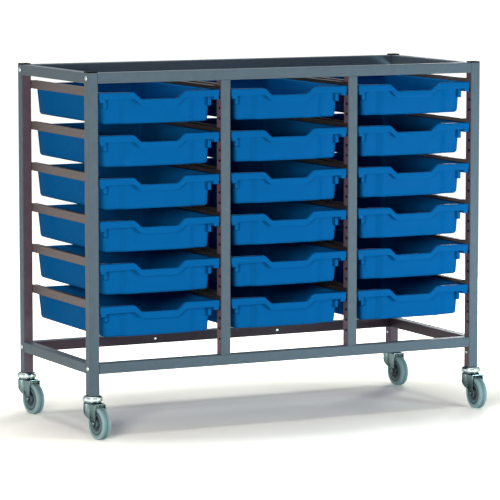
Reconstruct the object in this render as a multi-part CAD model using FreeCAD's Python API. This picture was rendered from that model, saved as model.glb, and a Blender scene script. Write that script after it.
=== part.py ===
import FreeCAD, Part
import math
import os

V = FreeCAD.Vector

# A low trolley of square steel tube on four swivel castors, with three bays of
# shallow trays on slide-in runners. +X is right, +Y is back, +Z is up, and the
# origin is on the floor under the middle of the whole unit. Millimetres.

# ---- driving dimensions -------------------------------------------------------

# trays
TRAY_WIDTH = 312.0            # over the side rims
TRAY_DEPTH = 427.0            # lip to back rim
TRAY_HEIGHT = 75.0
TRAY_WALL = 2.0
TRAY_FLOOR = 2.0
RIM_REACH = 15.5              # side rims stand out this far from the walls
RIM_BACK_REACH = 8.0
RIM_SKIRT = 9.5               # down-turned edge of the rims, which rides in the runner
RIM_SHEET = 2.0
RIM_CORNER = 24.0             # outside radius of the rim's back corners
SIDE_DRAFT = 4.0              # each wall leans in by this much from rim to floor
BACK_DRAFT = 10.0
FRONT_DRAFT = 3.0
TRAY_CORNER = 14.0            # outside radius of the body's front corners
TRAY_BACK_CORNER = 8.0        # and of its back corners
CORNER_FACETS = 3             # flats round each rounded corner of a tray
FLOOR_EDGE = 6.0              # bevel round the floor's outer edge

# tray front
LIP_REACH = 18.0              # front wall stands this far behind the lip's face
LIP_INSET = 2.0               # lip ends stop short of the side rims
LIP_HEIGHT = 16.0
BULGE_WIDTH = 160.0           # middle of the front wall, brought forward
BULGE_REACH = 8.0
BULGE_SLOPE = 17.0            # width of each slanted side of the bulge
DIP_DEPTH = 17.0              # hand dip in the middle of the lip
DIP_TOP_WIDTH = 131.0
DIP_FLOOR_WIDTH = 94.6
TAB_WIDTH = 15.5              # deeper tabs at the lip's ends, hollow behind
TAB_HEIGHT = 23.0
TAB_STEP = 3.5
TAB_STEP_HEIGHT = 15.0
TAB_DEPTH = 12.0
PAD_FOOT = 36.0               # hollow pads on the front wall beside the tabs
PAD_WIDTH = 5.0
PAD_REACH = 10.0
PAD_INSET = 19.0              # pads' outer faces, from the side rims
PAD_SHEET = 1.5

# frame
COLUMNS = 3
ROWS = 6
TUBE = 25.0                   # square tube, outside
TUBE_WALL = 1.5
TUBE_BEVEL = 1.5              # eased outer corners
DEPTH_OVER_TRAY = 3.0         # frame is deeper than the tray by this much
POST_FOOT = 50.0              # post below the bottom rails
CAP_TOP = 3.0
CAP_BEVEL = 1.0
CAP_PLUG = 8.0
CAP_FIT = 0.1

# slots and runners
SLOT_PITCH = 25.0
SLOTS_PER_ROW = 4
SLOT_LENGTH = 8.0             # along the depth
SLOT_HEIGHT = 3.0
SLOT_SETBACK = 8.3            # slot centre from the post's front or back face
SLOT_TOP_MARGIN = 16.0        # highest slot below the top rail
SLOT_BOTTOM_MARGIN = 38.0     # lowest slot above the bottom rail
RUNNER_SHEET = 1.2
RUNNER_HEIGHT = 20.0
RUNNER_FLANGE = 13.0
RUNNER_SIDE_GAP = 0.6         # tray rim to runner web
RUNNER_TOP_OVER_SLOT = 3.0
HOOK_REACH = 3.5              # hook tab, past the post's face
HOOK_FIT = 0.5                # tab is narrower than its slot, each end
REST_GAP = 0.3                # tray skirt over the runner's lower flange
LIP_SETBACK = 1.0             # lip's face behind the frame's front face
FLANGE_START = 3.0            # runner flanges start this far behind the tray's lip

# screws and inserts
SCREW_RADIUS = 2.5
SCREW_HEAD_RADIUS = 4.5
SCREW_HEAD = 2.2
RAIL_SCREW_LENGTH = 38.0
SHORT_SCREW_LENGTH = 8.0
INSERT_LENGTH = 16.0
INSERT_FIT = 0.1
LOCK_SCREW_DROP = 14.0        # castor locking screw below the bottom rail

# castors
WHEEL_RADIUS = 37.5
TYRE_WIDTH = 19.5
TYRE_THICKNESS = 11.0
HUB_WIDTH = 24.0
HUB_BOSS_RADIUS = 9.0
HUB_RECESS = 5.0
HUB_RIM = 8.0                 # hub's rim, from the tyre inwards
CASTOR_TRAIL = 31.0
CUP_RADIUS = 23.0
CUP_HEIGHT = 13.0
CUP_SIDE = 6.0                # upright part of the cup's side
CUP_CROWN_RADIUS = 15.0
SWIVEL_GAP = 0.4
RACE_RADIUS = 19.5
RACE_HEIGHT = 3.0
FORK_SHEET = 2.5
FORK_GAP = 1.0                # hub face to fork leg
FORK_EAR_RADIUS = 7.5         # round end of each leg, on the axle
FORK_FRONT = 6.0              # legs' front edges, ahead of the axle
FORK_DRUM_RADIUS = 21.0       # round part of the fork, under the cup
FORK_DRUM_BACK = 1.5          # and its axis, behind the kingpin
FORK_CREASE_RISE = 7.5        # foot of the skirt over the axle, where the legs begin
FORK_DRUM_RISE = 32.5         # and at the back of the drum
AXLE_RADIUS = 4.0
AXLE_HEAD_RADIUS = 7.0
AXLE_HEAD = 4.5
KINGPIN_RADIUS = 4.0
KINGPIN_RIVET_RADIUS = 6.5
KINGPIN_RIVET = 2.5
TYRE_GAP = 3.2                # tyre to the kingpin's riveted foot
RUNNING_FIT = 0.1             # radial clearance of shafts in their holes
STEM_FIT = 0.3
STEM_LENGTH = 50.0

# how far each castor has swung from straight ahead, in degrees to the right
CASTOR_SWING = {"front_left": 6, "front_right": -2, "back_left": 8, "back_right": 2}

# ---- sizes that follow --------------------------------------------------------

CUP_FOOT = (2 * WHEEL_RADIUS + TYRE_GAP + KINGPIN_RIVET + SWIVEL_GAP + FORK_SHEET
            + RACE_HEIGHT + SWIVEL_GAP)
CASTOR_HEIGHT = CUP_FOOT + CUP_HEIGHT     # floor to the foot of the post
BAY_WIDTH = TRAY_WIDTH + 2 * (RUNNER_SHEET + RUNNER_SIDE_GAP)
COLUMN_PITCH = BAY_WIDTH + TUBE
FRAME_WIDTH = COLUMNS * COLUMN_PITCH + TUBE
FRAME_DEPTH = TRAY_DEPTH + DEPTH_OVER_TRAY
ROW_PITCH = SLOTS_PER_ROW * SLOT_PITCH
SLOT_COUNT = ROWS * SLOTS_PER_ROW + 1

LOW_RAIL_FOOT = CASTOR_HEIGHT + POST_FOOT
LOW_RAIL_TOP = LOW_RAIL_FOOT + TUBE
FIRST_SLOT = LOW_RAIL_TOP + SLOT_BOTTOM_MARGIN
LAST_SLOT = FIRST_SLOT + (SLOT_COUNT - 1) * SLOT_PITCH
TOP_RAIL_FOOT = LAST_SLOT + SLOT_TOP_MARGIN
FRAME_TOP = TOP_RAIL_FOOT + TUBE

LEFT = -FRAME_WIDTH / 2
RIGHT = FRAME_WIDTH / 2


def wheel_reach(swing):
    """How far a swung wheel reaches ahead of its kingpin."""
    turn = math.radians(swing)
    return (CASTOR_TRAIL + WHEEL_RADIUS) * math.cos(turn) + TYRE_WIDTH / 2 * abs(math.sin(turn))


# the wheels trail to the front, so the unit reaches further forward than back
FRONT_OVERHANG = max(wheel_reach(CASTOR_SWING[name]) for name in ("front_left", "front_right")) - TUBE / 2
BACK_OVERHANG = CUP_RADIUS - TUBE / 2
FRONT = (FRONT_OVERHANG - FRAME_DEPTH - BACK_OVERHANG) / 2
BACK = FRONT + FRAME_DEPTH

RUNNER_TOP_OVER_TRAY_FLOOR = TRAY_HEIGHT - RIM_SKIRT - REST_GAP - RUNNER_SHEET + RUNNER_HEIGHT
LIP_FACE = FRONT + LIP_SETBACK

SIDE_NAMES = ("left", "right")
COLUMN_NAMES = ("left", "middle", "right")
CORNERS = {
    "front_left": (LEFT, FRONT),
    "front_right": (RIGHT - TUBE, FRONT),
    "back_left": (LEFT, BACK - TUBE),
    "back_right": (RIGHT - TUBE, BACK - TUBE),
}


# ---- helpers ------------------------------------------------------------------

def box(x0, y0, z0, x1, y1, z1):
    return Part.makeBox(x1 - x0, y1 - y0, z1 - z0, V(x0, y0, z0))


def polygon(points):
    return Part.makePolygon(list(points) + [points[0]])


def prism(points, direction):
    return Part.Face(polygon(points)).extrude(direction)


def mirrored(shape):
    """The other hand, across the plane x = 0."""
    return shape.mirror(V(0, 0, 0), V(1, 0, 0))


def bevelled_square(size, bevel, z):
    """The points of a square round the axis z, with its corners cut at 45 degrees."""
    half = size / 2
    flat = half - bevel
    points = []
    for quarter in range(4):
        turn = FreeCAD.Rotation(V(0, 0, 1), 90 * quarter)
        points += [turn.multVec(V(half, -flat, z)), turn.multVec(V(half, flat, z))]
    return points


def tube(length):
    """Square tube from the origin along +Z, with its axis on x = y = 0."""
    skin = prism(bevelled_square(TUBE, TUBE_BEVEL, 0), V(0, 0, length))
    half = TUBE / 2 - TUBE_WALL
    return skin.cut(box(-half, -half, 0, half, half, length))


def place(shape, x, y, z, axis=V(0, 0, 1)):
    """A copy turned so that +Z becomes axis, and then moved by x, y, z."""
    copy = shape.copy()
    move = FreeCAD.Placement(V(x, y, z), FreeCAD.Rotation(V(0, 0, 1), axis))
    copy.Placement = move.multiply(copy.Placement)
    return copy


def revolved(profile, start=V(0, 0, 0), axis=V(0, 0, 1)):
    """A solid of revolution from (radius, height) points round the axis z."""
    face = Part.Face(polygon([V(r, 0, h) for r, h in profile]))
    return place(face.revolve(V(0, 0, 0), V(0, 0, 1), 360), start.x, start.y, start.z, axis)


def flat_sided(outlines):
    """A solid with flat faces through polygons of as many points, from the lowest up.

    Each runs anticlockwise seen from above, so that every face looks outwards.
    """
    faces = [Part.Face(polygon(outlines[0][::-1])), Part.Face(polygon(outlines[-1]))]
    for low, high in zip(outlines, outlines[1:]):
        for index in range(len(low)):
            after = (index + 1) % len(low)
            faces.append(Part.Face(polygon([low[index], low[after], high[after], high[index]])))
    return Part.Solid(Part.Shell(faces))


def hexagon_prism(radius, height):
    corners = [V(radius, 0, 0)]
    for step in range(1, 6):
        corners.append(FreeCAD.Rotation(V(0, 0, 1), 60 * step).multVec(corners[0]))
    return prism(corners, V(0, 0, height))


# ---- frame --------------------------------------------------------------------

def slot_cutters(x, setback_y):
    """Slots through one wall at x, centred at setback_y, up the whole post."""
    cutters = []
    for index in range(SLOT_COUNT):
        z = FIRST_SLOT + index * SLOT_PITCH
        cutters.append(box(x - TUBE_WALL, setback_y - SLOT_LENGTH / 2, z - SLOT_HEIGHT / 2,
                           x + TUBE_WALL, setback_y + SLOT_LENGTH / 2, z + SLOT_HEIGHT / 2))
    return cutters


def slot_y(at_front):
    if at_front:
        return FRONT + SLOT_SETBACK
    return BACK - SLOT_SETBACK


def corner_post(x0, y0):
    body = place(tube(FRAME_TOP - CASTOR_HEIGHT), x0 + TUBE / 2, y0 + TUBE / 2, CASTOR_HEIGHT)
    inner_face = x0 + TUBE if x0 < 0 else x0
    return body.cut(Part.makeCompound(slot_cutters(inner_face, slot_y(y0 == FRONT))))


def divider_post(x0, y0):
    body = place(tube(TOP_RAIL_FOOT - LOW_RAIL_TOP), x0 + TUBE / 2, y0 + TUBE / 2, LOW_RAIL_TOP)
    y = slot_y(y0 == FRONT)
    cutters = slot_cutters(x0, y) + slot_cutters(x0 + TUBE, y)
    return body.cut(Part.makeCompound(cutters))


def cross_rail(y0, z0):
    """A front or back rail, between two corner posts."""
    rail = tube(FRAME_WIDTH - 2 * TUBE)
    return place(rail, LEFT + TUBE, y0 + TUBE / 2, z0 + TUBE / 2, V(1, 0, 0))


def side_rail(x0, z0):
    rail = tube(FRAME_DEPTH - 2 * TUBE)
    return place(rail, x0 + TUBE / 2, FRONT + TUBE, z0 + TUBE / 2, V(0, 1, 0))


def post_cap():
    """A plug with a bevelled top, from the top of a post."""
    head = flat_sided([
        bevelled_square(TUBE, TUBE_BEVEL, 0),
        bevelled_square(TUBE, TUBE_BEVEL, CAP_TOP - CAP_BEVEL),
        bevelled_square(TUBE - 2 * CAP_BEVEL, TUBE_BEVEL, CAP_TOP),
    ])
    half = TUBE / 2 - TUBE_WALL - CAP_FIT
    plug = box(-half, -half, -CAP_PLUG, half, half, 0)
    return head.fuse(plug).removeSplitter()


# ---- screws and inserts -------------------------------------------------------

def screw(length):
    """A hexagon-head screw along +Z, with its head's seat at the origin."""
    head = place(hexagon_prism(SCREW_HEAD_RADIUS, SCREW_HEAD), 0, 0, -SCREW_HEAD)
    return head.fuse(Part.makeCylinder(SCREW_RADIUS, length)).removeSplitter()


def rail_heights():
    return (LOW_RAIL_FOOT + TUBE / 2, TOP_RAIL_FOOT + TUBE / 2)


def rail_screws():
    solids = []
    for x0, y0 in CORNERS.values():
        outer, inward = (LEFT, 1) if x0 < 0 else (RIGHT, -1)
        for z in rail_heights():
            solids.append(place(screw(RAIL_SCREW_LENGTH), outer, y0 + TUBE / 2, z, V(inward, 0, 0)))
    return solids


def rail_inserts():
    """Threaded blocks in the ends of the front and back rails."""
    half = TUBE / 2 - TUBE_WALL - INSERT_FIT
    solids = []
    for x0, y0 in CORNERS.values():
        start = LEFT + TUBE if x0 < 0 else RIGHT - TUBE - INSERT_LENGTH
        y = y0 + TUBE / 2
        for z in rail_heights():
            solids.append(box(start, y - half, z - half, start + INSERT_LENGTH, y + half, z + half))
    return solids


def divider_screws():
    """Short screws through the rails at the feet of the dividers, from the inside of the frame."""
    solids = []
    z = LOW_RAIL_FOOT + TUBE / 2
    for x0 in divider_positions():
        x = x0 + TUBE / 2
        solids.append(place(screw(SHORT_SCREW_LENGTH), x, FRONT + TUBE, z, V(0, -1, 0)))
        solids.append(place(screw(SHORT_SCREW_LENGTH), x, BACK - TUBE, z, V(0, 1, 0)))
    return solids


def castor_lock_screws():
    solids = []
    z = LOW_RAIL_FOOT - LOCK_SCREW_DROP
    for x0, y0 in CORNERS.values():
        inner, outward = (x0 + TUBE, -1) if x0 < 0 else (x0, 1)
        solids.append(place(screw(SHORT_SCREW_LENGTH), inner, y0 + TUBE / 2, z, V(outward, 0, 0)))
    return solids


# ---- runners ------------------------------------------------------------------

def runner(left_side):
    """One C-section runner for the left of a bay, with the bay's middle at x = 0.

    z = 0 is the centre of its slots.
    """
    face = -BAY_WIDTH / 2
    web = face + RUNNER_SHEET
    top = RUNNER_TOP_OVER_SLOT
    foot = top - RUNNER_HEIGHT
    hook_y = (slot_y(True), slot_y(False))
    tab = SLOT_LENGTH / 2 - HOOK_FIT
    strip = box(face, hook_y[0] - tab, foot, web, hook_y[1] + tab, top)
    start = LIP_FACE + LIP_REACH + FLANGE_START
    end = BACK - (start - FRONT)
    pieces = [
        box(web, start, foot, face + RUNNER_FLANGE, end, foot + RUNNER_SHEET),
        box(web, start, top - RUNNER_SHEET, face + RUNNER_FLANGE, end, top),
    ]
    for y in hook_y:
        rest = -SLOT_HEIGHT / 2
        pieces.append(box(face - HOOK_REACH, y - tab, rest, face, y + tab, rest + RUNNER_SHEET))
    solid = strip.fuse(pieces).removeSplitter()
    return solid if left_side else mirrored(solid)


def bay_runners(column):
    left, right = runner(True), runner(False)
    solids = []
    for row in range(ROWS):
        z = LAST_SLOT - row * ROW_PITCH
        for solid in (left, right):
            solids.append(place(solid, bay_middle(column), 0, z))
    return solids


# ---- trays --------------------------------------------------------------------

def rounded_corner(x, y, radius, start):
    """Points round a corner of the plan, anticlockwise from an angle of start degrees.

    (x, y) is the sharp corner, and the round's own centre lies inside it.
    """
    middle = math.radians(start + 45)
    centre_x = x - math.copysign(radius, math.cos(middle))
    centre_y = y - math.copysign(radius, math.sin(middle))
    points = []
    for step in range(CORNER_FACETS + 1):
        angle = math.radians(start + 90 * step / CORNER_FACETS)
        points.append((centre_x + radius * math.cos(angle), centre_y + radius * math.sin(angle)))
    return points


def tray_outline(height, inset):
    """The tray body's plan at a height, drawn in by inset from its outer skin.

    The walls lean in towards the floor, and the front has a bulge in its middle.
    """
    lean = 1 - height / TRAY_HEIGHT
    half = TRAY_WIDTH / 2 - RIM_REACH - SIDE_DRAFT * lean - inset
    back = TRAY_DEPTH - RIM_BACK_REACH - BACK_DRAFT * lean - inset
    front = LIP_REACH + FRONT_DRAFT * lean + inset
    bulge_half = BULGE_WIDTH / 2 - inset
    at_front = TRAY_CORNER - inset
    at_back = max(TRAY_BACK_CORNER - inset, 1.0)
    bulge = [(-bulge_half - BULGE_SLOPE, front), (-bulge_half, front - BULGE_REACH),
             (bulge_half, front - BULGE_REACH), (bulge_half + BULGE_SLOPE, front)]
    outline = bulge + rounded_corner(half, front, at_front, -90) + rounded_corner(half, back, at_back, 0)
    outline += rounded_corner(-half, back, at_back, 90) + rounded_corner(-half, front, at_front, 180)
    return [V(x, y, height) for x, y in outline]


def lip_path(drop):
    """The lip's top line from the middle to the right end, lowered by drop square to itself."""
    slope = math.atan2(DIP_DEPTH, (DIP_TOP_WIDTH - DIP_FLOOR_WIDTH) / 2)
    shift = drop * math.tan(slope / 2)
    low = TRAY_HEIGHT - DIP_DEPTH - drop
    return [(DIP_FLOOR_WIDTH / 2 + shift, low), (DIP_TOP_WIDTH / 2 + shift, TRAY_HEIGHT - drop)]


def both_hands(right_points):
    """A closed outline from the points of its right half, top line first."""
    return right_points + [(-x, z) for x, z in reversed(right_points)]


def across(points, y0, y1):
    """A prism from y0 to y1 over an outline of (x, z) points."""
    return prism([V(x, y0, z) for x, z in points], V(0, y1 - y0, 0))


def lip_end():
    return TRAY_WIDTH / 2 - LIP_INSET


def lip_face():
    """The lip's front plate, with the dip along its top and a stepped tab at each end."""
    end = lip_end()
    tab = end - TAB_WIDTH
    foot = TRAY_HEIGHT - TAB_HEIGHT
    step = TRAY_HEIGHT - TAB_STEP_HEIGHT
    upper = lip_path(0) + [(end, TRAY_HEIGHT)]
    lower = lip_path(LIP_HEIGHT)
    right = upper + [
        (end, step), (end - TAB_STEP, step), (end - TAB_STEP, foot), (tab, foot),
        (tab, TRAY_HEIGHT - LIP_HEIGHT),
    ] + list(reversed(lower))
    return across(both_hands(right), 0, RIM_SHEET)


def lip_shelf():
    """The lip's top, from its face back to the front wall."""
    end = lip_end()
    upper = lip_path(0) + [(end, TRAY_HEIGHT)]
    lower = [(end, TRAY_HEIGHT - RIM_SHEET)] + list(reversed(lip_path(RIM_SHEET)))
    return across(both_hands(upper + lower), 0, LIP_REACH + TRAY_WALL)


def rim_block(inset, foot, top):
    """A slab over the side and back rims' outline, drawn in by inset."""
    half, back = TRAY_WIDTH / 2 - inset, TRAY_DEPTH - inset
    radius = RIM_CORNER - inset
    outline = [(-half, LIP_REACH), (half, LIP_REACH)]
    outline += rounded_corner(half, back, radius, 0) + rounded_corner(-half, back, radius, 90)
    return prism([V(x, y, foot) for x, y in outline], V(0, 0, top - foot))


def rims():
    """Side and back rims with their down-turned skirt, all but the hollow inside the walls."""
    plate = TRAY_HEIGHT - RIM_SHEET
    foot = TRAY_HEIGHT - RIM_SKIRT
    return rim_block(0, foot, TRAY_HEIGHT).cut(rim_block(RIM_SHEET, foot, plate))


def at_both_ends(x0, y0, z0, x1, y1, z1):
    """A box near the tray's right end, and its mirror image at the left end."""
    right = box(x0, y0, z0, x1, y1, z1)
    return [right, mirrored(right)]


def lip_returns():
    """Plates that run back from the lip's ends and from both edges of its tabs."""
    end, tab = lip_end(), lip_end() - TAB_WIDTH
    step = TRAY_HEIGHT - TAB_STEP_HEIGHT
    foot = TRAY_HEIGHT - TAB_HEIGHT
    outer = end - TAB_STEP
    plates = at_both_ends(end - RIM_SHEET, 0, step, end, LIP_REACH + RIM_SHEET, TRAY_HEIGHT)
    plates += at_both_ends(outer - RIM_SHEET, 0, foot, outer, TAB_DEPTH, TRAY_HEIGHT)
    plates += at_both_ends(tab, 0, foot, tab + RIM_SHEET, TAB_DEPTH, TRAY_HEIGHT)
    # the ledge between a tab and the lip's end
    return plates + at_both_ends(outer - RIM_SHEET, 0, step, end, TAB_DEPTH, step + RIM_SHEET)


def pads():
    """Upright pads on the front wall, open on the side towards the tabs."""
    x1 = TRAY_WIDTH / 2 - PAD_INSET
    x0 = x1 - PAD_WIDTH
    y0, y1 = LIP_REACH - PAD_REACH, LIP_REACH + TRAY_CORNER
    top = TRAY_HEIGHT - RIM_SHEET
    pocket = box(x0 + PAD_SHEET, y0 + PAD_SHEET, PAD_FOOT + PAD_SHEET, x1 + PAD_SHEET, y1, top)
    pad = box(x0, y0, PAD_FOOT, x1, y1, TRAY_HEIGHT).cut(pocket)
    return [pad, mirrored(pad)]


def tray():
    """One moulded tray, with its lip's face on y = 0 and its floor on z = 0."""
    above = TRAY_HEIGHT + 1
    skin = flat_sided([tray_outline(0, FLOOR_EDGE), tray_outline(FLOOR_EDGE, 0),
                       tray_outline(TRAY_HEIGHT, 0)])
    # the floor's inner bevel keeps the wall's thickness
    edge = FLOOR_EDGE + TRAY_WALL * (math.sqrt(2) - 1)
    hollow = flat_sided([tray_outline(TRAY_FLOOR, edge), tray_outline(edge, TRAY_WALL),
                         tray_outline(above, TRAY_WALL)])
    dip = across(both_hands(lip_path(0) + [(lip_path(0)[1][0], above)]), -1, LIP_REACH + TRAY_CORNER)
    solid = skin.cut(dip)
    solid = solid.fuse([lip_face(), lip_shelf(), rims()] + lip_returns() + pads())
    return solid.cut(hollow).removeSplitter()


def bay_middle(column):
    return LEFT + TUBE + BAY_WIDTH / 2 + column * COLUMN_PITCH


def tray_floor(row):
    """Height of a tray's floor, hung from its rims in the runners of a row."""
    runner_top = LAST_SLOT - row * ROW_PITCH + RUNNER_TOP_OVER_SLOT
    return runner_top - RUNNER_TOP_OVER_TRAY_FLOOR


# ---- castors ------------------------------------------------------------------
# Each is drawn with its kingpin on x = y = 0, the floor at z = 0 and its wheel
# trailing to the front.

FORK_TOP = CUP_FOOT - SWIVEL_GAP - RACE_HEIGHT
LEG_INSIDE = HUB_WIDTH / 2 + FORK_GAP
LEG_OUTSIDE = LEG_INSIDE + FORK_SHEET
KINGPIN_FOOT = FORK_TOP - FORK_SHEET - SWIVEL_GAP


def castor_cup():
    """The fixed domed cup under the post, with a hole for the kingpin."""
    hole = KINGPIN_RADIUS + RUNNING_FIT
    return revolved([(hole, CUP_FOOT), (CUP_RADIUS, CUP_FOOT), (CUP_RADIUS, CUP_FOOT + CUP_SIDE),
                     (CUP_CROWN_RADIUS, CASTOR_HEIGHT), (hole, CASTOR_HEIGHT)])


def castor_stem():
    """The plug inside the post, and the kingpin with its riveted foot."""
    plug = TUBE / 2 - TUBE_WALL - STEM_FIT
    return revolved([
        (0, CASTOR_HEIGHT + STEM_LENGTH), (plug, CASTOR_HEIGHT + STEM_LENGTH), (plug, CASTOR_HEIGHT),
        (KINGPIN_RADIUS, CASTOR_HEIGHT), (KINGPIN_RADIUS, KINGPIN_FOOT),
        (KINGPIN_RIVET_RADIUS, KINGPIN_FOOT), (KINGPIN_RIVET_RADIUS, KINGPIN_FOOT - KINGPIN_RIVET),
        (0, KINGPIN_FOOT - KINGPIN_RIVET),
    ])


def fork_crease(radius, half):
    """Where the fork's flat legs leave its round drum, along the depth."""
    return FORK_DRUM_BACK - math.sqrt(radius ** 2 - half ** 2)


def fork_side():
    """The fork's side outline, as a slab over its full width.

    The skirt's foot slopes down to the creases, and from there to the axle's ear.
    """
    ear_y, ear_z = -CASTOR_TRAIL, WHEEL_RADIUS
    crease = (fork_crease(FORK_DRUM_RADIUS, LEG_OUTSIDE), ear_z + FORK_CREASE_RISE)
    back = FORK_DRUM_BACK + FORK_DRUM_RADIUS
    front = ear_y - FORK_FRONT
    # the tangent from the crease's foot meets the ear here
    dy, dz = crease[0] - ear_y, crease[1] - ear_z
    angle = math.atan2(dz, dy) - math.acos(FORK_EAR_RADIUS / math.hypot(dy, dz))
    tangent = (ear_y + FORK_EAR_RADIUS * math.cos(angle), ear_z + FORK_EAR_RADIUS * math.sin(angle))
    outline = [(ear_y, ear_z), tangent, crease, (back, ear_z + FORK_DRUM_RISE), (back, FORK_TOP),
               (front, FORK_TOP), (front, ear_z)]
    slab = prism([V(-FORK_DRUM_RADIUS, y, z) for y, z in outline], V(2 * FORK_DRUM_RADIUS, 0, 0))
    ear = Part.makeCylinder(FORK_EAR_RADIUS, 2 * FORK_DRUM_RADIUS, V(-FORK_DRUM_RADIUS, ear_y, ear_z),
                            V(1, 0, 0))
    return slab.fuse(ear).removeSplitter()


def fork_plan(radius, half, top):
    """An upright keyhole-shaped bar: a round drum, with flat sides at x = ±half ahead of it."""
    drum = Part.makeCylinder(radius, top, V(0, FORK_DRUM_BACK, 0))
    ahead = box(-half, -2 * CASTOR_TRAIL, 0, half, FORK_DRUM_BACK, top)
    return drum.fuse(ahead).removeSplitter()


def castor_fork():
    """A pressed fork: two flat legs in front of a round drum, under one top plate."""
    outer = fork_side().common(fork_plan(FORK_DRUM_RADIUS, LEG_OUTSIDE, FORK_TOP))
    inner = fork_plan(FORK_DRUM_RADIUS - FORK_SHEET, LEG_INSIDE, FORK_TOP - FORK_SHEET)
    race = Part.makeCylinder(RACE_RADIUS, RACE_HEIGHT, V(0, 0, FORK_TOP))
    kingpin_hole = Part.makeCylinder(KINGPIN_RADIUS + RUNNING_FIT, CASTOR_HEIGHT)
    axle_hole = Part.makeCylinder(AXLE_RADIUS + RUNNING_FIT, 2 * CUP_RADIUS,
                                  V(-CUP_RADIUS, -CASTOR_TRAIL, WHEEL_RADIUS), V(1, 0, 0))
    return outer.cut(inner).fuse(race).cut(kingpin_hole).cut(axle_hole).removeSplitter()


def on_axle(profile):
    """A solid of revolution round the wheel's axle from (radius, x) points."""
    return revolved(profile, V(0, -CASTOR_TRAIL, WHEEL_RADIUS), V(1, 0, 0))


def castor_axle():
    """The axle bolt, with its hexagon head and nut outside the fork's legs."""
    reach = LEG_OUTSIDE + AXLE_HEAD
    pin = on_axle([(0, -LEG_OUTSIDE), (AXLE_RADIUS, -LEG_OUTSIDE), (AXLE_RADIUS, LEG_OUTSIDE), (0, LEG_OUTSIDE)])
    hexagon = hexagon_prism(AXLE_HEAD_RADIUS, AXLE_HEAD)
    head = place(hexagon, -reach, -CASTOR_TRAIL, WHEEL_RADIUS, V(1, 0, 0))
    nut = place(hexagon, LEG_OUTSIDE, -CASTOR_TRAIL, WHEEL_RADIUS, V(1, 0, 0))
    return pin.fuse([head, nut]).removeSplitter()


def castor_hub():
    """The wheel's centre: a rim under the tyre, a recessed web and a boss on the axle."""
    rim, bore = WHEEL_RADIUS - TYRE_THICKNESS, AXLE_RADIUS + RUNNING_FIT
    half, edge = HUB_WIDTH / 2, TYRE_WIDTH / 2
    web = edge - HUB_RECESS
    right = [(bore, half), (HUB_BOSS_RADIUS, half), (HUB_BOSS_RADIUS, web), (rim - HUB_RIM, web),
             (rim - HUB_RIM, edge), (rim, edge)]
    return on_axle(right + [(r, -x) for r, x in reversed(right)])


def castor_tyre():
    rim = WHEEL_RADIUS - TYRE_THICKNESS
    half = TYRE_WIDTH / 2
    return on_axle([(rim, -half), (WHEEL_RADIUS, -half), (WHEEL_RADIUS, half), (rim, half)])


def at_castors(solid):
    """Copies of one castor solid, swung under the four posts and keyed by corner."""
    copies = {}
    for name, (x0, y0) in CORNERS.items():
        swung = solid.copy()
        swung.rotate(V(0, 0, 0), V(0, 0, 1), CASTOR_SWING[name])
        copies[name] = place(swung, x0 + TUBE / 2, y0 + TUBE / 2, 0)
    return copies


# ---- assembly -----------------------------------------------------------------

def divider_positions():
    return [LEFT + (index + 1) * COLUMN_PITCH for index in range(COLUMNS - 1)]


def frame_nodes():
    nodes = {}
    for name, (x0, y0) in CORNERS.items():
        nodes["post_" + name] = corner_post(x0, y0)
    for side, x0 in zip(SIDE_NAMES, divider_positions()):
        nodes["divider_front_" + side] = divider_post(x0, FRONT)
        nodes["divider_back_" + side] = divider_post(x0, BACK - TUBE)
    for level, z0 in (("top", TOP_RAIL_FOOT), ("bottom", LOW_RAIL_FOOT)):
        nodes[f"rail_{level}_front"] = cross_rail(FRONT, z0)
        nodes[f"rail_{level}_back"] = cross_rail(BACK - TUBE, z0)
        nodes[f"rail_{level}_left"] = side_rail(LEFT, z0)
        nodes[f"rail_{level}_right"] = side_rail(RIGHT - TUBE, z0)
    cap = post_cap()
    caps = [place(cap, x0 + TUBE / 2, y0 + TUBE / 2, FRAME_TOP) for x0, y0 in CORNERS.values()]
    nodes["post_caps"] = Part.makeCompound(caps)
    nodes["rail_screws"] = Part.makeCompound(rail_screws())
    nodes["rail_inserts"] = Part.makeCompound(rail_inserts())
    nodes["divider_screws"] = Part.makeCompound(divider_screws())
    nodes["castor_lock_screws"] = Part.makeCompound(castor_lock_screws())
    return nodes


def bay_nodes():
    nodes = {}
    solid = tray()
    for column, name in enumerate(COLUMN_NAMES):
        nodes[f"runners_{name}_bay"] = Part.makeCompound(bay_runners(column))
        for row in range(ROWS):
            nodes[f"tray_{name}_{row + 1}"] = place(solid, bay_middle(column), LIP_FACE, tray_floor(row))
    return nodes


def castor_nodes():
    nodes = {
        "castor_cups": Part.makeCompound(list(at_castors(castor_cup()).values())),
        "castor_stems": Part.makeCompound(list(at_castors(castor_stem()).values())),
    }
    for piece, solid in (("fork", castor_fork()), ("axle", castor_axle()),
                         ("hub", castor_hub()), ("tyre", castor_tyre())):
        for corner, copy in at_castors(solid).items():
            nodes[f"castor_{piece}_{corner}"] = copy
    return nodes


def main():
    os.makedirs("parts", exist_ok=True)
    for nodes in (frame_nodes(), bay_nodes(), castor_nodes()):
        for name, shape in nodes.items():
            shape.exportStep(os.path.join("parts", name + ".step"))


main()
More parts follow.
